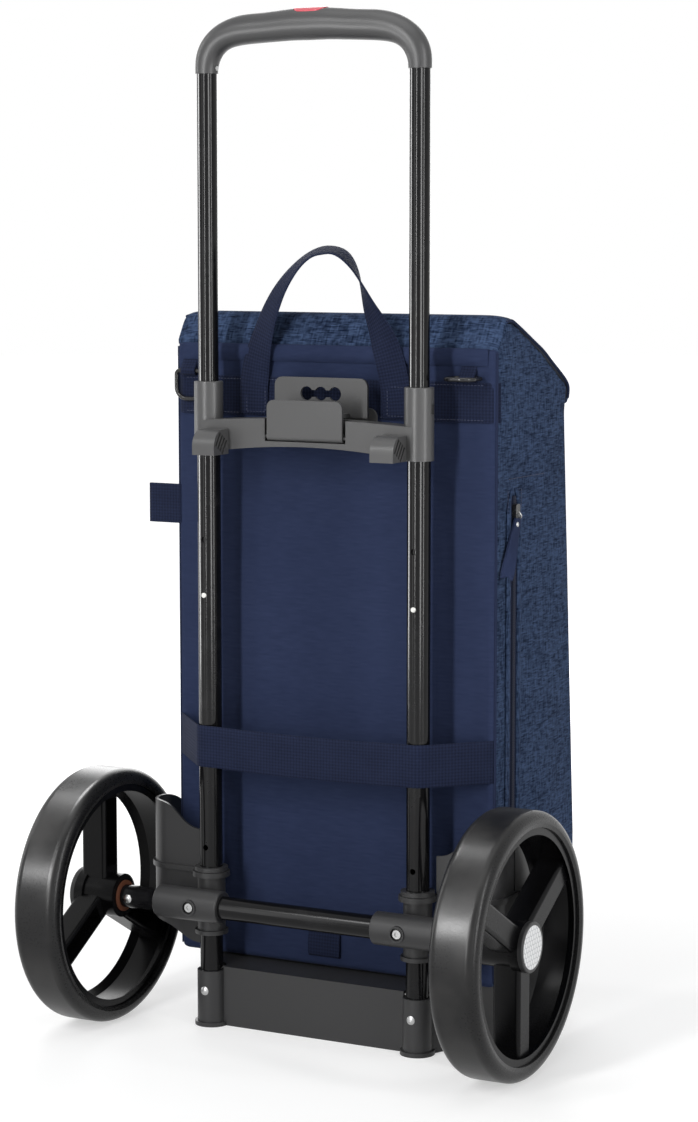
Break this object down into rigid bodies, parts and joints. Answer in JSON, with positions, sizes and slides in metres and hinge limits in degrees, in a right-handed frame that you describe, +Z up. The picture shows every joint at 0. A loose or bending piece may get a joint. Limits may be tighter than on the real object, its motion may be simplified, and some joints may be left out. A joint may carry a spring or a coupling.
{
  "type": "shopping trolley on wheels",
  "caption": "Two-wheeled shopping trolley: telescopic tube rack with arched grip, latch bridge and spoked wheels, carrying a lift-off fabric bag with sloping lid.",
  "frame": {"origin": "on the floor, midway between the two posts, on the underside of the base's rear wall", "axes": "+X to the right seen from the handle side, +Y from the posts towards the bag, +Z up"},
  "size_m": [0.4812, 0.38, 0.9658],
  "materials": {
    "black_tube": "gloss black powder coat",
    "dark_plastic": "satin moulded plastic",
    "grip_plastic": "soft-touch satin",
    "wheel_plastic": "satin moulded plastic",
    "tyre_rubber": "matt rubber",
    "steel": "bright zinc",
    "nylon": "natural nylon",
    "fibre": "brown fibre",
    "button_red": "gloss",
    "reflector_white": "prismatic white",
    "heather_fabric": "heathered blue polyester",
    "navy_fabric": "plain navy polyester",
    "navy_webbing": "woven webbing",
    "board": "fluted board",
    "ring_black": "gloss",
    "zip_metal": "black lacquer"
  },
  "bodies": {
    "rack": {"left_post": "black_tube", "right_post": "black_tube", "base": "dark_plastic", "frame_rivets": "steel", "right_axle_tee": "dark_plastic", "left_axle_tee": "dark_plastic", "tee_screws": "steel", "cross_tube": "black_tube", "axle_rod": "steel", "axle_inserts": "nylon", "axle_washers": "fibre", "axle_clips": "steel", "right_side_guard": "dark_plastic", "left_side_guard": "dark_plastic", "bridge": "dark_plastic", "guide_bushes": "nylon", "rest_lugs": "dark_plastic", "latch_pin": "steel"},
    "latch": {"latch_lever": "dark_plastic"},
    "handle": {"grip": "grip_plastic", "left_handle_tube": "black_tube", "right_handle_tube": "black_tube", "grip_screws": "steel", "end_bushes": "nylon", "lock_springs": "steel", "lock_pins": "nylon", "button_spring": "steel"},
    "release": {"release_button": "button_red", "release_yoke": "wheel_plastic", "release_rods": "steel"},
    "left_wheel": {"left_tyre": "tyre_rubber", "left_rim": "wheel_plastic", "left_hub_bushes": "nylon", "left_hub_cap": "dark_plastic", "left_reflector": "reflector_white"},
    "right_wheel": {"right_tyre": "tyre_rubber", "right_rim": "wheel_plastic", "right_hub_bushes": "nylon", "right_hub_cap": "dark_plastic", "right_reflector": "reflector_white"},
    "bag": {"bag_back": "navy_fabric", "bag_front": "heather_fabric", "bag_right_side": "heather_fabric", "bag_left_side": "heather_fabric", "bag_floor": "navy_fabric", "base_board": "board", "lid_strip": "heather_fabric", "back_band": "navy_webbing", "hanger": "dark_plastic", "hanger_rivets": "steel", "rack_strap": "navy_webbing", "carry_handle": "navy_webbing", "webbing_tabs": "navy_webbing", "zip_tape": "navy_webbing"},
    "lid": {"lid": "heather_fabric"},
    "left_ring": {"left_d_ring": "ring_black"},
    "right_ring": {"right_d_ring": "ring_black"},
    "zip": {"zip_slider": "zip_metal", "zip_puller": "navy_webbing"}
  },
  "joints": [
    {"name": "handle_slide", "type": "slide", "parent": "rack", "child": "handle", "axis": [0, 0, 1], "range_m": [-0.244, 0.053], "deforming": ["lock_springs", "lock_pins"]},
    {"name": "release_press", "type": "slide", "parent": "handle", "child": "release", "axis": [0, 0, -1], "range_m": [0, 0.004], "stiffness_N_per_m": 2000, "springref_m": -0.003, "deforming": ["button_spring"]},
    {"name": "latch_hinge", "type": "hinge", "parent": "rack", "child": "latch", "pos_m": [0, -0.0115, 0.573], "axis": [1, 0, 0], "range_deg": [0, 30], "stiffness_Nm_per_rad": 0.3, "springref_deg": -11.46},
    {"name": "left_wheel_spin", "type": "hinge", "parent": "rack", "child": "left_wheel", "pos_m": [-0.2168, -0.028, 0.123], "axis": [1, 0, 0], "continuous": true},
    {"name": "right_wheel_spin", "type": "hinge", "parent": "rack", "child": "right_wheel", "pos_m": [0.2168, -0.028, 0.123], "axis": [1, 0, 0], "continuous": true},
    {"name": "bag_lift", "type": "slide", "parent": "rack", "child": "bag", "axis": [0, 0, 1], "range_m": [0, 0.06]},
    {"name": "lid_hinge", "type": "hinge", "parent": "bag", "child": "lid", "pos_m": [0, 0.06455, 0.68375], "axis": [1, 0, 0], "range_deg": [0, 110]},
    {"name": "left_ring_swing", "type": "hinge", "parent": "bag", "child": "left_ring", "pos_m": [-0.154, 0.0358, 0.629], "axis": [1, 0, 0], "range_deg": [-150, 0]},
    {"name": "right_ring_swing", "type": "hinge", "parent": "bag", "child": "right_ring", "pos_m": [0.143, 0.0358, 0.629], "axis": [1, 0, 0], "range_deg": [-60, 88]},
    {"name": "zip_slide", "type": "slide", "parent": "bag", "child": "zip", "axis": [0, 0, -1], "range_m": [0, 0.28]}
  ]
}
